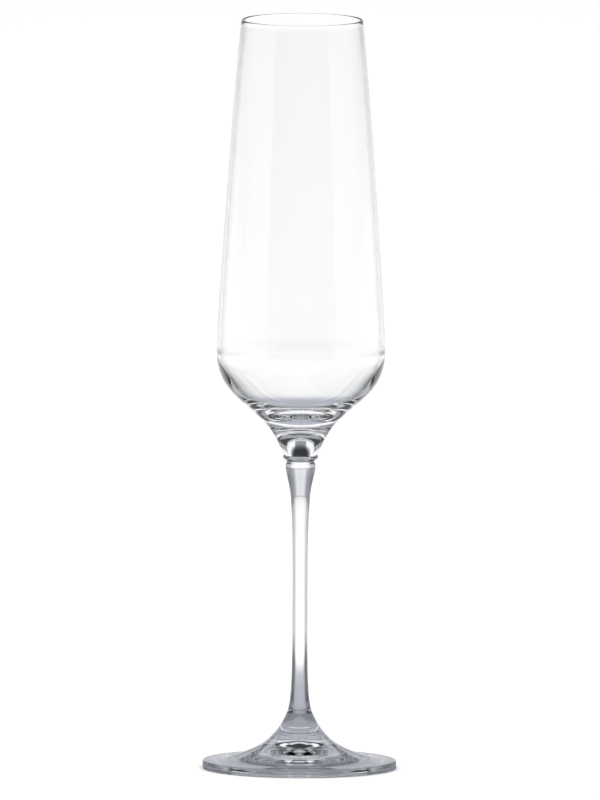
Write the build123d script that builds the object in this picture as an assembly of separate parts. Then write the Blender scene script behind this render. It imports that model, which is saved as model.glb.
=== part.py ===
from build123d import *
import math
import os

# Champagne flute in clear glass: a blown bowl, a drawn stem and a spun foot, hot-fused end to end.
# Millimetres, +Z up, origin on the table at the middle of the foot.
# Each piece is a half section turned about Z, and its outline is made of cubic curves.
# A "pull" is how far a control point stands from its end of the curve, along the end's slope:
# a longer pull holds that slope for longer.

# Lengths along the axis
foot_height = 18.1      # table to the edge of the foot's weld
stem_length = 84.3      # edge of the foot's weld to the edge of the bowl's weld
bowl_height = 142.6     # edge of the bowl's weld to the rim

# Diameters
rim_dia = 39.7          # mouth, outside
belly_dia = 55.1        # widest ring of the bowl
knuckle_dia = 22.2      # where the bowl's flank turns in to its solid nub
seat_dia = 10.9         # weld between the nub and the stem
lip_dia = 11.5          # thin lip of the stem, just under that weld
groove_dia = 9.0        # groove under the lip
bead_dia = 9.8          # bead under the groove
neck_dia = 6.4          # stem below its flared head
waist_dia = 4.9         # thinnest ring of the stem
toe_dia = 8.3           # weld between stem and foot
flare_dia = 44.0        # where the foot's flare runs out into its disc
cone_dia = 42.6         # lower end of the low cone that hollows the foot
foot_dia = 63.0

# Bowl, outside; heights are above the weld's edge
belly_rise = 35.1       # widest ring
rim_angle = 6.0         # inward lean at the rim, degrees from upright
wall_rim_pull = 28.2
wall_belly_pull = 5.2
flank_belly_pull = 14.0
flank_angle = 42.4      # flank at the knuckle, degrees from upright
flank_knuckle_pull = 12.9
knuckle_rise = 9.9
nub_knuckle_pull = 2.6
nub_angle = 25.0        # taper of the nub at the weld, degrees from upright
nub_pull = 6.0

# Bowl, inside
rim_wall = 0.75
belly_wall = 1.1
base_wall = 13.7        # glass on the axis between the cavity's floor and the weld
cavity_drop = 1.5       # the cavity is widest this far below the widest ring
cavity_rim_pull = 28.0
cavity_wall_pull = 6.0
cavity_flank_pull = 10.3
cavity_floor_pull = 13.5

# Welds: shallow spherical dishes that bulge down
seat_sag = 0.6
toe_sag = 0.6

# Stem
lip_drop = 0.65         # bowl's weld edge down to the fullest ring of the lip
lip_weld_pull = 0.3
lip_upper_pull = 0.3
lip_lower_pull = 0.55
groove_drop = 2.0
groove_pull = 0.35
bead_drop = 3.5
bead_upper_pull = 0.9
bead_lower_pull = 2.6
neck_drop = 13.4        # bowl's weld edge down to the neck
neck_angle = 4.5        # taper at the neck, degrees from upright
neck_upper_pull = 3.6
neck_lower_pull = 9.0
waist_rise = 37.9       # foot's weld edge up to the waist
waist_upper_pull = 14.0
waist_lower_pull = 18.3
toe_angle = 23.5        # spread at the foot's weld, degrees from upright
toe_pull = 4.6

# Foot
edge_height = 2.65      # thickness at the outer edge
edge_round = 0.5        # rounding of the outer edge, above and below
flare_toe_pull = 9.8
flare_rise = 1.2        # flare's end above the top of the outer edge
flare_angle = 16.0      # slope there, degrees from level
flare_disc_pull = 8.5
disc_flare_pull = 2.8
disc_edge_pull = 3.0
disc_angle = 2.0        # slope of the disc at its outer edge, degrees from level
ring_width = 2.5        # flat ring that the foot stands on
hollow_rise = 2.2       # underside at the lower end of the cone, above the table
hollow_pull = 5.5
cone_rise = 6.2         # top of the cone, above the table
cone_top_pull = 3.1
cone_edge_pull = 1.6

# Places along the axis
seat_z = foot_height + stem_length
rim_z = seat_z + bowl_height
belly_z = seat_z + belly_rise
knuckle_z = seat_z + knuckle_rise
lip_z = seat_z - lip_drop
groove_z = seat_z - groove_drop
bead_z = seat_z - bead_drop
neck_z = seat_z - neck_drop
waist_z = foot_height + waist_rise


def at_radius(diameter, height):
    return Vector(diameter / 2, height)


def from_upright(angle, length):
    """Step upward, leaning outward by the angle."""
    turn = math.radians(angle)
    return Vector(length * math.sin(turn), length * math.cos(turn))


def from_level(angle, length):
    """Step outward, dropping by the angle."""
    turn = math.radians(angle)
    return Vector(length * math.cos(turn), -length * math.sin(turn))


def curve(start, leave, arrive, end):
    """Cubic curve between two points, given the steps from them to their control points."""
    return Bezier(start, start + leave, end + arrive, end)


def weld_arc(edge, sag):
    """Spherical weld face in section: level on the axis, rising to its edge."""
    return TangentArc((0, edge.Y - sag), edge, tangent=(1, 0))


def turned(*lines):
    """Solid of revolution about Z from a closed half section drawn in X and Y."""
    return revolve(Plane.XZ * make_face(lines), Axis.Z)


def make_bowl():
    """Thin wall, open at the top, over a solid base that narrows to a nub at the weld."""
    seat, knuckle = at_radius(seat_dia, seat_z), at_radius(knuckle_dia, knuckle_z)
    belly = at_radius(belly_dia, belly_z)
    lip = at_radius(rim_dia, rim_z - rim_wall / 2)
    lip_inside = at_radius(rim_dia - 2 * rim_wall, rim_z - rim_wall / 2)
    cavity = at_radius(belly_dia - 2 * belly_wall, belly_z - cavity_drop)
    floor = Vector(0, seat_z - seat_sag + base_wall)
    outside = [
        curve(seat, from_upright(nub_angle, nub_pull),
              from_upright(flank_angle, -nub_knuckle_pull), knuckle),
        curve(knuckle, from_upright(flank_angle, flank_knuckle_pull),
              Vector(0, -flank_belly_pull), belly),
        curve(belly, Vector(0, wall_belly_pull), from_upright(-rim_angle, -wall_rim_pull), lip)]
    rim = ThreePointArc(lip, at_radius(rim_dia - rim_wall, rim_z), lip_inside)
    inside = [
        curve(lip_inside, from_upright(-rim_angle, -cavity_rim_pull),
              Vector(0, cavity_wall_pull), cavity),
        curve(cavity, Vector(0, -cavity_flank_pull), Vector(cavity_floor_pull, 0), floor)]
    axis = Line(floor, Vector(0, seat_z - seat_sag))
    return turned(weld_arc(seat, seat_sag), *outside, rim, *inside, axis)


def make_stem():
    """Solid drawn stem: thin lip, groove and bead under the bowl, slim waist, spreading toe."""
    seat, lip = at_radius(seat_dia, seat_z), at_radius(lip_dia, lip_z)
    groove, bead = at_radius(groove_dia, groove_z), at_radius(bead_dia, bead_z)
    neck, waist = at_radius(neck_dia, neck_z), at_radius(waist_dia, waist_z)
    toe = at_radius(toe_dia, foot_height)
    outside = [
        curve(seat, Vector(lip_weld_pull, 0), Vector(0, lip_upper_pull), lip),
        curve(lip, Vector(0, -lip_lower_pull), Vector(0, groove_pull), groove),
        curve(groove, Vector(0, -groove_pull), Vector(0, bead_upper_pull), bead),
        curve(bead, Vector(0, -bead_lower_pull),
              from_upright(neck_angle, neck_upper_pull), neck),
        curve(neck, from_upright(neck_angle, -neck_lower_pull),
              Vector(0, waist_upper_pull), waist),
        curve(waist, Vector(0, -waist_lower_pull), from_upright(-toe_angle, toe_pull), toe)]
    axis = Line(Vector(0, foot_height - toe_sag), Vector(0, seat_z - seat_sag))
    return turned(weld_arc(seat, seat_sag), *outside, weld_arc(toe, toe_sag), axis)


def make_foot():
    """Disc with a flare rising to the stem, hollowed underneath, standing on its outer ring."""
    toe = at_radius(toe_dia, foot_height)
    flare_end = at_radius(flare_dia, edge_height + flare_rise)
    edge_top = at_radius(foot_dia - 2 * edge_round, edge_height)
    edge_upper = at_radius(foot_dia, edge_height - edge_round)
    edge_lower = at_radius(foot_dia, edge_round)
    ring_outside = at_radius(foot_dia - 2 * edge_round, 0)
    ring_inside = at_radius(foot_dia - 2 * edge_round - 2 * ring_width, 0)
    cone_edge, cone_top = at_radius(cone_dia, hollow_rise), Vector(0, cone_rise)
    top = [
        curve(toe, from_upright(-toe_angle, -flare_toe_pull),
              from_level(flare_angle, -flare_disc_pull), flare_end),
        curve(flare_end, from_level(flare_angle, disc_flare_pull),
              from_level(disc_angle, -disc_edge_pull), edge_top)]
    edge = [RadiusArc(edge_top, edge_upper, edge_round), Line(edge_upper, edge_lower),
            RadiusArc(edge_lower, ring_outside, edge_round)]
    under = [
        Line(ring_outside, ring_inside),
        curve(ring_inside, Vector(-hollow_pull, 0), Vector(hollow_pull, 0), cone_edge),
        curve(cone_edge, Vector(-cone_edge_pull, 0), Vector(cone_top_pull, 0), cone_top)]
    axis = Line(cone_top, Vector(0, foot_height - toe_sag))
    return turned(weld_arc(toe, toe_sag), *top, *edge, *under, axis)


pieces = {"bowl": make_bowl(), "stem": make_stem(), "foot": make_foot()}

os.makedirs("parts", exist_ok=True)
for name, piece in pieces.items():
    export_step(piece, f"parts/{name}.step")
    print(f"{name}: {piece.volume / 1000:.2f} cm3")
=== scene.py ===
import math

import bpy
import numpy as np
from mathutils import Matrix, Vector


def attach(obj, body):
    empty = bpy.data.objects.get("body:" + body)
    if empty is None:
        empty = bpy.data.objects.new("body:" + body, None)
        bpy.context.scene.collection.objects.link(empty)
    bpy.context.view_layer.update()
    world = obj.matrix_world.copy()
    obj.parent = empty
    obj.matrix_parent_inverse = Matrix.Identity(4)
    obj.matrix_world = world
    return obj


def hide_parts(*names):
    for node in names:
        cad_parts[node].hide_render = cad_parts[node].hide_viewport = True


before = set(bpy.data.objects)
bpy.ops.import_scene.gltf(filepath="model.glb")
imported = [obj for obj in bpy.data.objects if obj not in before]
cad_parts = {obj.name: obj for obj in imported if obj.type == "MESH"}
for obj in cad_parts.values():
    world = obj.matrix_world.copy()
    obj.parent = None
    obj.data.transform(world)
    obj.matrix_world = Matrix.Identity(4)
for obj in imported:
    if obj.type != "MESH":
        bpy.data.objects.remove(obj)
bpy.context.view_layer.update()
scene = bpy.context.scene
print("frame in:", ", ".join(sorted(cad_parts)))

mm = 0.001
columns = 256               # around every turned piece


# Point on a half section: radius is half the diameter, height as given.
def at(diameter, height):
    return np.array([diameter / 2, height])


# Step that leans outward from upright by the angle: (length sin a, length cos a).
def fromUpright(angle, length):
    lean = math.radians(angle)
    return np.array([length * math.sin(lean), length * math.cos(lean)])


# Step outward that drops from level by the angle: (length cos a, -length sin a).
def fromLevel(angle, length):
    drop = math.radians(angle)
    return np.array([length * math.cos(drop), -length * math.sin(drop)])


# Cubic curve from start to end: (1-t)^3 S + 3(1-t)^2 t (S + leave) + 3(1-t) t^2 (E + arrive) + t^3 E.
def curve(start, leave, arrive, end, steps):
    t = np.linspace(0, 1, steps + 1)[:, None]
    return ((1 - t) ** 3 * start + 3 * (1 - t) ** 2 * t * (start + leave)
            + 3 * (1 - t) * t ** 2 * (end + arrive) + t ** 3 * end)


# Circular arc: centre + radius (cos a, sin a), a running between two angles in degrees.
def arc(centre, radius, fromAngle, toAngle, steps):
    a = np.radians(np.linspace(fromAngle, toAngle, steps + 1))[:, None]
    return np.asarray(centre) + radius * np.hstack([np.cos(a), np.sin(a)])


# Shallow dish from the axis to its edge: a sphere of radius (r^2 + sag^2) / (2 sag), level on the axis.
def dish(edge, sag, steps):
    radius = (edge[0] ** 2 + sag ** 2) / (2 * sag)
    a = np.linspace(0, math.asin(edge[0] / radius), steps + 1)[:, None]
    return np.hstack([radius * np.sin(a), edge[1] - sag + radius * (1 - np.cos(a))])


# One half section in metres from its runs, each starting where the last one ends, and the slot of every
# strip.
def joined(runs):
    rows, slots = [runs[0][0][:1]], []
    for points, slot in runs:
        rows.append(points[1:])
        slots.append(np.full(len(points) - 1, slot))
    return np.vstack(rows) * mm, np.concatenate(slots)


# Faces over a number of rings between two poles: a fan, quads from ring to ring, a fan. Vertex 0 is the first
# pole, ring i starts at vertex 1 + i * columns, and the last vertex is the other pole.
def turnedFaces(rings):
    col = np.arange(columns)
    nxt = (col + 1) % columns
    base = np.arange(rings - 1)[:, None] * columns + 1
    quads = np.stack([base + col, base + nxt, base + columns + nxt, base + columns + col], -1).reshape(-1, 4)
    top = (rings - 1) * columns + 1
    first = np.stack([np.zeros(columns, int), 1 + nxt, 1 + col], -1)
    last = np.stack([np.full(columns, rings * columns + 1), top + col, top + nxt], -1)
    corners = np.concatenate([first.ravel(), quads.ravel(), last.ravel()])
    sizes = np.concatenate([np.full(columns, 3), np.full(len(quads), 4), np.full(columns, 3)])
    return corners, sizes


# UV of every face corner: (a / 2 pi, share of the section's length), each fan meeting its pole at mid column.
def turnedUv(section, corners):
    rings, col = len(section) - 2, np.arange(columns)
    along = np.concatenate([[0], np.cumsum(np.linalg.norm(np.diff(section, axis=0), axis=1))])
    row = np.concatenate([[0], np.repeat(np.arange(1, rings + 1), columns), [rings + 1]])[corners]
    u = np.concatenate([np.stack([col + .5, col + 1, col], -1).ravel(),
                        np.tile(np.stack([col, col + 1, col + 1, col], -1).ravel(), rings - 1),
                        np.stack([col + .5, col, col + 1], -1).ravel()]) / columns
    return np.stack([u, along[row] / along[-1]], -1)


# Surface of revolution (r cos a, r sin a, z) of a half section that starts and ends on the axis, with the
# outside to the right of travel. Each run of the section names its material slot, and the ring between two
# slots stays sharp.
def lathe(name, runs, materials):
    section, slots = joined(runs)
    inner, a = section[1:-1], np.arange(columns) * 2 * math.pi / columns
    rings = np.stack([inner[:, :1] * np.cos(a), inner[:, :1] * np.sin(a),
                      np.repeat(inner[:, 1:], columns, 1)], -1).reshape(-1, 3)
    verts = np.vstack([[[0, 0, section[0, 1]]], rings, [[0, 0, section[-1, 1]]]])
    corners, sizes = turnedFaces(len(inner))
    mesh = bpy.data.meshes.new(name)
    mesh.vertices.add(len(verts))
    mesh.vertices.foreach_set("co", verts.ravel())
    mesh.loops.add(len(corners))
    mesh.loops.foreach_set("vertex_index", corners)
    mesh.polygons.add(len(sizes))
    mesh.polygons.foreach_set("loop_start", np.concatenate([[0], np.cumsum(sizes)[:-1]]))
    mesh.polygons.foreach_set("material_index", np.repeat(slots, columns))
    mesh.polygons.foreach_set("use_smooth", np.ones(len(sizes), bool))
    mesh.update(calc_edges=True)
    for material in materials:
        mesh.materials.append(material)
    edges = np.empty(len(mesh.edges) * 2, int)
    mesh.edges.foreach_get("vertices", edges)
    ringOf = (edges.reshape(-1, 2) - 1) // columns
    changes = np.flatnonzero(np.diff(slots))            # ring i lies between strips i and i + 1
    sharp = (ringOf[:, 0] == ringOf[:, 1]) & np.isin(ringOf[:, 0], changes)
    mesh.attributes.new("sharp_edge", "BOOLEAN", "EDGE").data.foreach_set("value", sharp)
    mesh.uv_layers.new(name="UVMap").data.foreach_set("uv", turnedUv(section, corners).ravel())
    mesh.validate()
    piece = bpy.data.objects.new(name, mesh)
    scene.collection.objects.link(piece)
    return piece


# New node of one kind in a tree, its inputs set from values or linked from sockets.
def put(tree, kind, inputs=None, **settings):
    node = tree.nodes.new(kind)
    for key, value in settings.items():
        setattr(node, key, value)
    for key, value in (inputs or {}).items():
        if isinstance(value, bpy.types.NodeSocket):
            tree.links.new(value, node.inputs[key])
        else:
            node.inputs[key].default_value = value
    return node


# One arithmetic step on sockets or numbers, giving its output socket.
def calc(tree, operation, *values):
    return put(tree, "ShaderNodeMath", dict(enumerate(values)), operation=operation).outputs[0]


# Smooth rise from 0 to 1 as x passes from low to high: smoothstep.
def rise(tree, x, low, high):
    node = put(tree, "ShaderNodeMapRange", {"Value": x, "From Min": low, "From Max": high},
               interpolation_type="SMOOTHSTEP")
    return node.outputs["Result"]


# Number between two by a share: (1 - share) first + share second.
def between(tree, share, first, second):
    return put(tree, "ShaderNodeMix", {0: share, 2: first, 3: second}).outputs[0]


# Colour between two by a share: (1 - share) first + share second.
def tinted(tree, share, first, second):
    return put(tree, "ShaderNodeMix", {0: share, 6: first, 7: second}, data_type="RGBA").outputs[2]


# Place on the piece in metres, as a vector socket.
def placeOn(tree):
    return put(tree, "ShaderNodeTexCoord").outputs["Object"]


# Empty shader group with the named inputs (kind and usual value) and outputs (kind).
def newGroup(name, inputs, outputs):
    group = bpy.data.node_groups.new(name, "ShaderNodeTree")
    for label, (kind, value) in inputs.items():
        group.interface.new_socket(label, in_out="INPUT", socket_type=kind).default_value = value
    for label, kind in outputs.items():
        group.interface.new_socket(label, in_out="OUTPUT", socket_type=kind)
    return group, group.nodes.new("NodeGroupInput"), group.nodes.new("NodeGroupOutput")


# New material with nodes, and its tree.
def newMaterial(name):
    material = bpy.data.materials.new(name)
    material.use_nodes = True
    return material, material.node_tree


# Colour of the glass body: body tint mixed towards streak tint by noise drawn out along the axis,
# share = smoothstep(noise(x, y, z / drawn out)).
def glassToneGroup():
    g, start, end = newGroup("glassTone", {
        "Body Tint": ("NodeSocketColor", (.98, .99, .985, 1)),
        "Streak Tint": ("NodeSocketColor", (.96, .98, .975, 1)),
        "Streaks Per Metre": ("NodeSocketFloat", 60),
        "Drawn Out": ("NodeSocketFloat", 6),
        "Streak From": ("NodeSocketFloat", .35),
        "Streak To": ("NodeSocketFloat", .7)}, {"Color": "NodeSocketColor"})
    asked = start.outputs
    squeeze = put(g, "ShaderNodeCombineXYZ", {"X": 1, "Y": 1, "Z": calc(g, "DIVIDE", 1, asked["Drawn Out"])})
    drawn = put(g, "ShaderNodeVectorMath", {0: placeOn(g), 1: squeeze.outputs[0]}, operation="MULTIPLY")
    noise = put(g, "ShaderNodeTexNoise", {"Vector": drawn.outputs[0], "Scale": asked["Streaks Per Metre"],
                                          "Detail": 2, "Roughness": .45})
    share = rise(g, noise.outputs[0], asked["Streak From"], asked["Streak To"])
    g.links.new(tinted(g, share, asked["Body Tint"], asked["Streak Tint"]), end.inputs["Color"])
    return g


# Slow unevenness of hand-worked glass: a broad swell plus fainter rings left by the turning,
# height = swell depth * noise(p) + ring depth * noise(z).
def glassSwellGroup():
    g, start, end = newGroup("glassSwell", {
        "Swells Per Metre": ("NodeSocketFloat", 45),
        "Swell Depth": ("NodeSocketFloat", .00001),
        "Rings Per Metre": ("NodeSocketFloat", 260),
        "Ring Depth": ("NodeSocketFloat", .000001)}, {"Height": "NodeSocketFloat"})
    asked, coords = start.outputs, placeOn(g)
    swell = put(g, "ShaderNodeTexNoise", {"Vector": coords, "Scale": asked["Swells Per Metre"],
                                          "Detail": 1, "Roughness": .4})
    height = put(g, "ShaderNodeSeparateXYZ", {0: coords}).outputs["Z"]
    rings = put(g, "ShaderNodeTexNoise", {"W": calc(g, "MULTIPLY", height, asked["Rings Per Metre"]),
                                          "Scale": 1, "Detail": 2}, noise_dimensions="1D")
    total = calc(g, "ADD", calc(g, "MULTIPLY", swell.outputs[0], asked["Swell Depth"]),
                 calc(g, "MULTIPLY", rings.outputs[0], asked["Ring Depth"]))
    g.links.new(total, end.inputs["Height"])
    return g


# Roughness from handling: polished glass, rising to worn on a band of heights where the noise is high,
# share = (low < z < high) * smoothstep(noise(p)).
def contactWearGroup():
    g, start, end = newGroup("contactWear", {
        "Polished": ("NodeSocketFloat", 0),
        "Worn": ("NodeSocketFloat", .25),
        "Band Low": ("NodeSocketFloat", 0),
        "Band High": ("NodeSocketFloat", .001),
        "Marks Per Metre": ("NodeSocketFloat", 900),
        "Marks From": ("NodeSocketFloat", .4),
        "Marks To": ("NodeSocketFloat", .75)}, {"Roughness": "NodeSocketFloat"})
    asked, coords = start.outputs, placeOn(g)
    z = put(g, "ShaderNodeSeparateXYZ", {0: coords}).outputs["Z"]
    inBand = calc(g, "MULTIPLY", calc(g, "GREATER_THAN", z, asked["Band Low"]),
                  calc(g, "LESS_THAN", z, asked["Band High"]))
    marks = put(g, "ShaderNodeTexNoise", {"Vector": coords, "Scale": asked["Marks Per Metre"], "Detail": 3})
    share = calc(g, "MULTIPLY", inBand, rise(g, marks.outputs[0], asked["Marks From"], asked["Marks To"]))
    g.links.new(between(g, share, asked["Polished"], asked["Worn"]), end.inputs["Roughness"])
    return g


toneGroup, swellGroup, wearGroup = glassToneGroup(), glassSwellGroup(), contactWearGroup()


# Clear glass: Principled with full transmission. Its colour is the tone, mixed towards a painted edge shade
# by a smoothstep of how far the surface turns from the eye: painted shade where thick glass is seen edge-on.
def clearGlass(name, look):
    material, tree = newMaterial(name)
    glass = tree.nodes["Principled BSDF"]
    glass.inputs["Metallic"].default_value = 0
    glass.inputs["Transmission Weight"].default_value = 1
    glass.inputs["IOR"].default_value = look["ior"]
    tone = put(tree, "ShaderNodeGroup", look["tone"], node_tree=toneGroup).outputs["Color"]
    swell = put(tree, "ShaderNodeGroup", look["swell"], node_tree=swellGroup).outputs["Height"]
    wear = put(tree, "ShaderNodeGroup", look["wear"], node_tree=wearGroup).outputs["Roughness"]
    facing = put(tree, "ShaderNodeLayerWeight", {"Blend": .5}).outputs["Facing"]
    edge = rise(tree, facing, look["edgeFrom"], look["edgeTo"])
    bump = put(tree, "ShaderNodeBump", {"Height": swell, "Distance": 1, "Strength": 1})
    # Painted shade: the glass colour darkens towards the edge shade where the surface turns from the eye.
    tree.links.new(tinted(tree, edge, tone, look["edgeShade"]), glass.inputs["Base Color"])
    tree.links.new(wear, glass.inputs["Roughness"])
    tree.links.new(bump.outputs["Normal"], glass.inputs["Normal"])
    return material


# Face shared by two fused pieces: light passes straight through, keeping only the glass's own tint.
def fusedFace(name, look):
    material, tree = newMaterial(name)
    tree.nodes.remove(tree.nodes["Principled BSDF"])
    tone = put(tree, "ShaderNodeGroup", look, node_tree=toneGroup).outputs["Color"]
    through = put(tree, "ShaderNodeBsdfTransparent", {"Color": tone})
    tree.links.new(through.outputs[0], tree.nodes["Material Output"].inputs["Surface"])
    return material


# Diameters, heights above the table and pulls along each slope, all in millimetres; angles in degrees;
# rows count the steps of the section along each stretch.
welds = {
    "seatDia": 10.9, "seatHeight": 102.4, "seatSag": .6,
    "toeDia": 8.3, "toeHeight": 18.1, "toeSag": .6, "toeAngle": 23.5, "rows": 12,
    "look": {"Body Tint": (1, 1, 1, 1), "Streak Tint": (.995, 1, .998, 1)}}
seat, toe = at(welds["seatDia"], welds["seatHeight"]), at(welds["toeDia"], welds["toeHeight"])
fused = fusedFace("fusedGlass", welds["look"])
seatDish = dish(seat, welds["seatSag"], welds["rows"])
toeDish = dish(toe, welds["toeSag"], welds["rows"])

bowlShape = {
    "rimDia": 39.7, "rimHeight": 245, "rimWall": .75, "rimAngle": 6,
    "wallRimPull": 28.2, "wallBellyPull": 5.2,
    "bellyDia": 55.1, "bellyHeight": 137.5, "bellyWall": 1.1, "flankBellyPull": 14, "flankAngle": 42.4,
    "flankKnucklePull": 12.9, "knuckleDia": 22.2, "knuckleHeight": 112.3, "nubKnucklePull": 2.6,
    "nubPull": 6, "nubAngle": 25, "cavityRimPull": 28, "cavityWallPull": 6, "cavityDrop": 1.5,
    "cavityFlankPull": 10.3, "cavityFloorPull": 13.5, "floorHeight": 115.5,
    "rows": {"nub": 44, "flank": 76, "wall": 52, "rim": 12, "floor": 96}}
bowlLook = {
    "ior": 1.52, "edgeFrom": .6, "edgeTo": .88, "edgeShade": (.45, .46, .5, 1),
    "tone": {"Body Tint": (.985, .99, .99, 1), "Streak Tint": (.97, .98, .98, 1),
             "Streaks Per Metre": 50, "Drawn Out": 5},
    "swell": {"Swells Per Metre": 40, "Swell Depth": .00001, "Rings Per Metre": 220, "Ring Depth": .0000008},
    "wear": {"Band Low": .2440, "Band High": .2460, "Worn": .04, "Marks Per Metre": 700}}


# Bowl section: weld dish, nub, knuckle, flank, belly and leaning wall, round the rim and down the cavity.
def makeBowl(s, look):
    rows = s["rows"]
    knuckle = at(s["knuckleDia"], s["knuckleHeight"])
    belly = at(s["bellyDia"], s["bellyHeight"])
    lip = at(s["rimDia"], s["rimHeight"] - s["rimWall"] / 2)
    lipMiddle = at(s["rimDia"] - s["rimWall"], lip[1])
    lipInside = at(s["rimDia"] - 2 * s["rimWall"], lip[1])
    cavity = at(s["bellyDia"] - 2 * s["bellyWall"], s["bellyHeight"] - s["cavityDrop"])
    floor = at(0, s["floorHeight"])
    runs = [
        (seatDish, 1),
        (curve(seat, fromUpright(s["nubAngle"], s["nubPull"]),
               fromUpright(s["flankAngle"], -s["nubKnucklePull"]), knuckle, rows["nub"]), 0),
        (curve(knuckle, fromUpright(s["flankAngle"], s["flankKnucklePull"]),
               at(0, -s["flankBellyPull"]), belly, rows["flank"]), 0),
        (curve(belly, at(0, s["wallBellyPull"]),
               fromUpright(-s["rimAngle"], -s["wallRimPull"]), lip, rows["wall"]), 0),
        (arc(lipMiddle, s["rimWall"] / 2, 0, 180, rows["rim"]), 0),
        (curve(lipInside, fromUpright(-s["rimAngle"], -s["cavityRimPull"]),
               at(0, s["cavityWallPull"]), cavity, rows["wall"]), 0),
        (curve(cavity, at(0, -s["cavityFlankPull"]), fromLevel(0, s["cavityFloorPull"]),
               floor, rows["floor"]), 0)]
    return lathe("bowlGlass", runs, [clearGlass("bowlClear", look), fused])


stemShape = {
    "lipDia": 11.5, "lipHeight": 101.75, "lipUpperPull": .3, "lipLowerPull": .55, "lipWeldPull": .3,
    "grooveDia": 9, "grooveHeight": 100.4, "groovePull": .35,
    "beadDia": 9.8, "beadHeight": 98.9, "beadUpperPull": .9, "beadLowerPull": 2.6,
    "neckDia": 6.4, "neckHeight": 89, "neckAngle": 4.5, "neckUpperPull": 3.6, "neckLowerPull": 9,
    "waistDia": 4.9, "waistHeight": 56, "waistUpperPull": 14, "waistLowerPull": 18.3, "toePull": 4.6,
    "rows": {"toe": 100, "waist": 90, "neck": 56, "groove": 18, "lip": 10}}
stemLook = {
    "ior": 1.52, "edgeFrom": .04, "edgeTo": .32, "edgeShade": (.33, .335, .37, 1),
    "tone": {"Body Tint": (.985, .99, .99, 1), "Streak Tint": (.96, .97, .975, 1),
             "Streaks Per Metre": 400, "Drawn Out": 12},
    "swell": {"Swells Per Metre": 60, "Swell Depth": .00001, "Rings Per Metre": 120, "Ring Depth": .000001},
    "wear": {"Band Low": -1, "Band High": -1}}          # an empty band: nothing rubs the stem


# Stem section: dish on the foot, spreading toe, slim waist, tapering neck, bead, groove, thin lip at the
# weld, dish under the bowl.
def makeStem(s, look):
    rows = s["rows"]
    waist, neck = at(s["waistDia"], s["waistHeight"]), at(s["neckDia"], s["neckHeight"])
    bead, groove = at(s["beadDia"], s["beadHeight"]), at(s["grooveDia"], s["grooveHeight"])
    lip = at(s["lipDia"], s["lipHeight"])
    runs = [
        (toeDish, 1),
        (curve(toe, fromUpright(-welds["toeAngle"], s["toePull"]),
               at(0, -s["waistLowerPull"]), waist, rows["toe"]), 0),
        (curve(waist, at(0, s["waistUpperPull"]),
               fromUpright(s["neckAngle"], -s["neckLowerPull"]), neck, rows["waist"]), 0),
        (curve(neck, fromUpright(s["neckAngle"], s["neckUpperPull"]),
               at(0, -s["beadLowerPull"]), bead, rows["neck"]), 0),
        (curve(bead, at(0, s["beadUpperPull"]), at(0, -s["groovePull"]), groove, rows["groove"]), 0),
        (curve(groove, at(0, s["groovePull"]), at(0, -s["lipLowerPull"]), lip, rows["groove"]), 0),
        (curve(lip, at(0, s["lipUpperPull"]), fromLevel(0, s["lipWeldPull"]), seat, rows["lip"]), 0),
        (seatDish[::-1], 1)]
    return lathe("stemGlass", runs, [clearGlass("stemClear", look), fused])


footShape = {
    "footDia": 63, "edgeHeight": 2.65, "edgeRound": .5, "ringWidth": 2.5,
    "hollowRise": 2.2, "hollowPull": 5.5,
    "coneDia": 42.6, "coneRise": 6.2, "coneTopPull": 3.1, "coneEdgePull": 1.6,
    "flareDia": 44, "flareRise": 1.2, "flareAngle": 16, "flareToePull": 9.8, "flareDiscPull": 8.5,
    "discFlarePull": 2.8, "discEdgePull": 3, "discAngle": 2,
    "rows": {"cone": 56, "step": 48, "ring": 4, "round": 10, "side": 6, "disc": 56, "flare": 110}}
footLook = {
    "ior": 1.52, "edgeFrom": .5, "edgeTo": .95, "edgeShade": (.5, .52, .58, 1),
    "tone": {"Body Tint": (.955, .965, .975, 1), "Streak Tint": (.93, .945, .955, 1),
             "Streaks Per Metre": 90, "Drawn Out": 1},
    "swell": {"Swells Per Metre": 50, "Swell Depth": .00002, "Rings Per Metre": 300, "Ring Depth": .000002},
    "wear": {"Band Low": -.001, "Band High": .00004, "Worn": .35, "Marks Per Metre": 1400}}


# Foot section: low cone and step down to the table, flat standing ring, rounded edge, disc, flare, dish under
# the stem.
def makeFoot(s, look):
    rows, edge = s["rows"], s["edgeRound"]
    coneTop, coneEdge = at(0, s["coneRise"]), at(s["coneDia"], s["hollowRise"])
    flat = s["footDia"] - 2 * edge
    ringInside, ringOutside = at(flat - 2 * s["ringWidth"], 0), at(flat, 0)
    lower, upper = at(flat, edge), at(flat, s["edgeHeight"] - edge)
    sideLow, sideHigh = at(s["footDia"], edge), at(s["footDia"], s["edgeHeight"] - edge)
    flareEnd = at(s["flareDia"], s["edgeHeight"] + s["flareRise"])
    runs = [
        (curve(coneTop, fromLevel(0, s["coneTopPull"]), fromLevel(0, -s["coneEdgePull"]), coneEdge,
               rows["cone"]), 0),
        (curve(coneEdge, fromLevel(0, s["hollowPull"]), fromLevel(0, -s["hollowPull"]), ringInside,
               rows["step"]), 0),
        (np.linspace(ringInside, ringOutside, rows["ring"] + 1), 0),
        (arc(lower, edge, -90, 0, rows["round"]), 0),
        (np.linspace(sideLow, sideHigh, rows["side"] + 1), 0),
        (arc(upper, edge, 0, 90, rows["round"]), 0),
        (curve(at(flat, s["edgeHeight"]), fromLevel(s["discAngle"], -s["discEdgePull"]),
               fromLevel(s["flareAngle"], s["discFlarePull"]), flareEnd, rows["disc"]), 0),
        (curve(flareEnd, fromLevel(s["flareAngle"], -s["flareDiscPull"]),
               fromUpright(-welds["toeAngle"], -s["flareToePull"]), toe, rows["flare"]), 0),
        (toeDish[::-1], 1)]
    return lathe("footGlass", runs, [clearGlass("footClear", look), fused])


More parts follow.
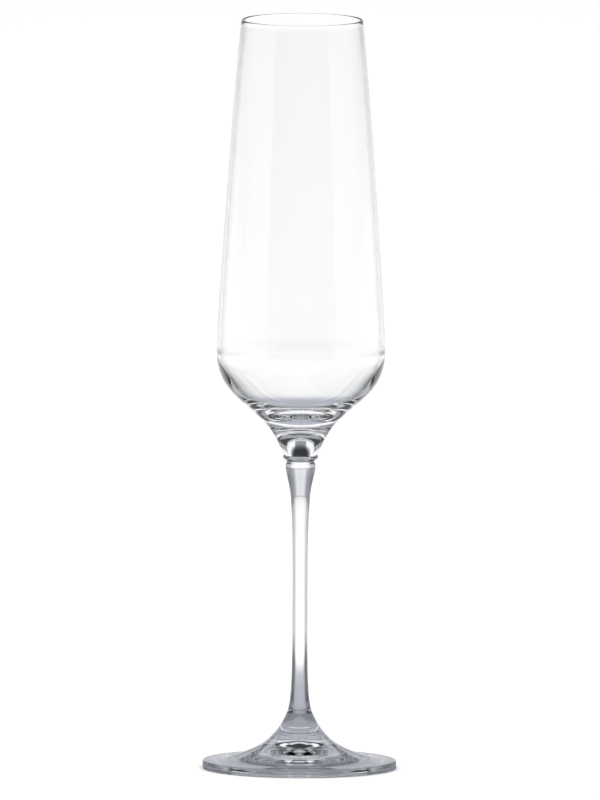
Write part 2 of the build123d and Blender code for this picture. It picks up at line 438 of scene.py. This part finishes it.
made = {"bowl": makeBowl(bowlShape, bowlLook), "stem": makeStem(stemShape, stemLook),
        "foot": makeFoot(footShape, footLook)}
for node, piece in made.items():
    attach(piece, "root")
    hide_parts(node)
    print(piece.name, "turned:", len(piece.data.polygons), "faces")

# Level table, a plain pale disc just under the foot, large enough to fill the view. Sizes in metres, drop in
# millimetres. The eye sees it evenly pale. What the glass shows of it carries painted shade near the glass:
# an apron round the foot, a strip that runs back to the backdrop, a darker flag to each side of that strip,
# and the round that is left, all painted darker than the open table. Strip and flag are told by y / distance,
# and the painted shade ends sooner on strip and round.
# The glow stands in for light that the foot gathers on the table under it.
table = {
    "radius": 12, "corners": 96, "drop": .02, "roughness": .9, "specular": 0,
    "tone": (.8, .8, .8, 1), "shade": .985, "mottlesPerMetre": 3,
    # Painted shade seen only in the glass: apron, round, flag and strip are darker than the table and fade
    # with distance.
    "apronShade": (.35, .37, .42, 1), "apronFrom": .055, "apronTo": .075,
    "roundShade": (.26, .28, .27, 1), "flagShade": (.13, .145, .14, 1), "flagFrom": .1, "flagTo": .5,
    "stripShade": (.37, .38, .43, 1), "stripFrom": .8, "stripTo": .97,
    "dimFrom": .28, "dimTo": .42, "stripShorter": .45, "roundShorter": .6,
    "glow": (.3, .31, .34, 1), "glowRadius": .031, "glowSide": .6}


# Pale finish of the table: mottled tone to the eye; to the glass, painted shade near the glass mixed by
# smoothsteps of distance and of y / distance, and the mottled tone farther out.
def paleTable(t):
    material, tree = newMaterial("paleTable")
    surface = tree.nodes["Principled BSDF"]
    coords = placeOn(tree)
    noise = put(tree, "ShaderNodeTexNoise", {"Vector": coords, "Scale": t["mottlesPerMetre"], "Detail": 2})
    shaded = tuple(c * t["shade"] for c in t["tone"][:3]) + (1,)
    mottled = tinted(tree, noise.outputs[0], t["tone"], shaded)
    away = put(tree, "ShaderNodeVectorMath", {0: coords}, operation="LENGTH").outputs["Value"]
    behind = calc(tree, "DIVIDE", put(tree, "ShaderNodeSeparateXYZ", {0: coords}).outputs["Y"], away)
    strip = rise(tree, behind, t["stripFrom"], t["stripTo"])
    flag = rise(tree, behind, t["flagFrom"], t["flagTo"])
    # Painted shade round the glass, mixed from apron, strip, flag and round, and shown only to rays from the
    # glass.
    past = tinted(tree, strip, tinted(tree, flag, t["roundShade"], t["flagShade"]), t["stripShade"])
    near = tinted(tree, rise(tree, away, t["apronFrom"], t["apronTo"]), t["apronShade"], past)
    sooner = calc(tree, "ADD", calc(tree, "MULTIPLY", strip, t["stripShorter"]),
                  calc(tree, "MULTIPLY", calc(tree, "SUBTRACT", 1, flag), t["roundShorter"]))
    reach = calc(tree, "MULTIPLY", away, calc(tree, "ADD", 1, sooner))
    shadeForGlass = tinted(tree, rise(tree, reach, t["dimFrom"], t["dimTo"]), near, mottled)
    toEye = put(tree, "ShaderNodeLightPath").outputs["Is Camera Ray"]
    underFoot = calc(tree, "LESS_THAN", away, t["glowRadius"])
    glow = calc(tree, "MULTIPLY", between(tree, strip, t["glowSide"], 1), underFoot)
    tree.links.new(tinted(tree, toEye, shadeForGlass, mottled), surface.inputs["Base Color"])
    tree.links.new(glow, surface.inputs["Emission Strength"])
    surface.inputs["Emission Color"].default_value = t["glow"]
    surface.inputs["Roughness"].default_value = t["roughness"]
    surface.inputs["Specular IOR Level"].default_value = t["specular"]
    return material


# Disc of one ring of corners: radius (cos a, sin a).
def makeTable(t):
    a = np.arange(t["corners"]) * 2 * math.pi / t["corners"]
    level = np.full(t["corners"], -t["drop"] * mm)
    ring = np.stack([t["radius"] * np.cos(a), t["radius"] * np.sin(a), level], -1)
    mesh = bpy.data.meshes.new("tableTop")
    mesh.from_pydata(ring.tolist(), [], [list(range(t["corners"]))])
    mesh.materials.append(paleTable(t))
    disc = bpy.data.objects.new("tableTop", mesh)
    scene.collection.objects.link(disc)
    return disc


makeTable(table)
print("table laid")

# Studio seen in the glass: soft panels in a dark room, each between two heights above the table and two turns
# away from straight behind the glass, alike on both sides, in degrees. A height past 90 or a turn past 180
# leaves that side open.
studio = {
    "color": (.93, .945, 1, 1), "room": .025, "soft": 2.5,
    "panels": {
        "backdrop": {"strength": .85, "heights": (-90, 20), "turns": (-1, 17)},
        "horizon": {"strength": .5, "heights": (-90, 20), "turns": (17, 130)},
        "backLow": {"strength": .28, "heights": (30, 40), "turns": (-1, 14)},
        "backHigh": {"strength": .9, "heights": (40, 48), "turns": (-1, 14)},
        "wings": {"strength": 1.2, "heights": (30, 41), "turns": (12, 45)},
        "sides": {"strength": .33, "heights": (42, 99), "turns": (31, 88)},
        "crown": {"strength": .35, "heights": (67, 99), "turns": (-1, 31)},
        "front": {"strength": .65, "heights": (42, 99), "turns": (120, 199)}}}


# Soft window on x between two bounds: smoothstep past the lower one, less once past the upper one.
def window(tree, x, bounds, soft):
    low, high = bounds
    past = rise(tree, x, high - soft, high + soft)
    return calc(tree, "MULTIPLY", rise(tree, x, low - soft, low + soft), calc(tree, "SUBTRACT", 1, past))


# World strength from direction: the room plus, for each panel, strength * window(height) * window(turn).
def makeStudio(s):
    world = bpy.data.worlds.new("studio")
    scene.world = world
    world.use_nodes = True
    tree = world.node_tree
    tree.nodes.clear()
    axes = put(tree, "ShaderNodeSeparateXYZ", {0: put(tree, "ShaderNodeTexCoord").outputs["Generated"]})
    height = calc(tree, "DEGREES", calc(tree, "ARCSINE", axes.outputs["Z"]))
    around = calc(tree, "ARCTAN2", axes.outputs["X"], axes.outputs["Y"])
    turn = calc(tree, "DEGREES", calc(tree, "ABSOLUTE", around))
    total = s["room"]
    for panel in s["panels"].values():
        high = calc(tree, "MULTIPLY", panel["strength"], window(tree, height, panel["heights"], s["soft"]))
        shown = calc(tree, "MULTIPLY", high, window(tree, turn, panel["turns"], s["soft"]))
        total = calc(tree, "ADD", total, shown)
    back = put(tree, "ShaderNodeBackground", {"Color": s["color"], "Strength": total})
    tree.links.new(back.outputs[0], put(tree, "ShaderNodeOutputWorld").inputs["Surface"])


makeStudio(studio)

# Large round lamp overhead, which lights the table and doesn't show in the glass.
overhead = {"power": 405, "size": 9, "height": 4, "color": (1, .985, .965)}
lamp = bpy.data.lights.new("overhead", "AREA")
lamp.shape, lamp.size = "DISK", overhead["size"]
lamp.energy, lamp.color = overhead["power"], overhead["color"]
lampObject = bpy.data.objects.new("overhead", lamp)
lampObject.location = (0, 0, overhead["height"])
lampObject.visible_glossy = lampObject.visible_transmission = False
scene.collection.objects.link(lampObject)
print("studio lit")

# Camera: parallel view from a little above the table, looking at the axis at the height of aim, a touch aside
# and rolled. Metres and degrees.
view = {
    "elevation": 6.15, "span": .26042, "aim": .12042, "distance": 2, "roll": .23, "aside": -.00026, "far": 50}
tilt = math.radians(view["elevation"])
toCamera = Vector((0, -math.cos(tilt), math.sin(tilt)))
facing = Matrix.Rotation(math.pi / 2 - tilt, 3, "X") @ Matrix.Rotation(math.radians(view["roll"]), 3, "Z")
camera = bpy.data.objects.new("camera", bpy.data.cameras.new("camera"))
camera.data.type, camera.data.ortho_scale, camera.data.clip_end = "ORTHO", view["span"], view["far"]
camera.location = toCamera * view["distance"] + Vector((view["aside"], 0, view["aim"]))
camera.rotation_euler = facing.to_euler()
scene.collection.objects.link(camera)
scene.camera = camera
print("camera set")

# Plain colours, and enough bounces for light to leave the thick glass.
bounces = {"through": 32, "glossy": 16, "transparent": 64}
scene.view_settings.view_transform = "Standard"
scene.cycles.max_bounces = scene.cycles.transmission_bounces = bounces["through"]
scene.cycles.glossy_bounces = bounces["glossy"]
scene.cycles.transparent_max_bounces = bounces["transparent"]
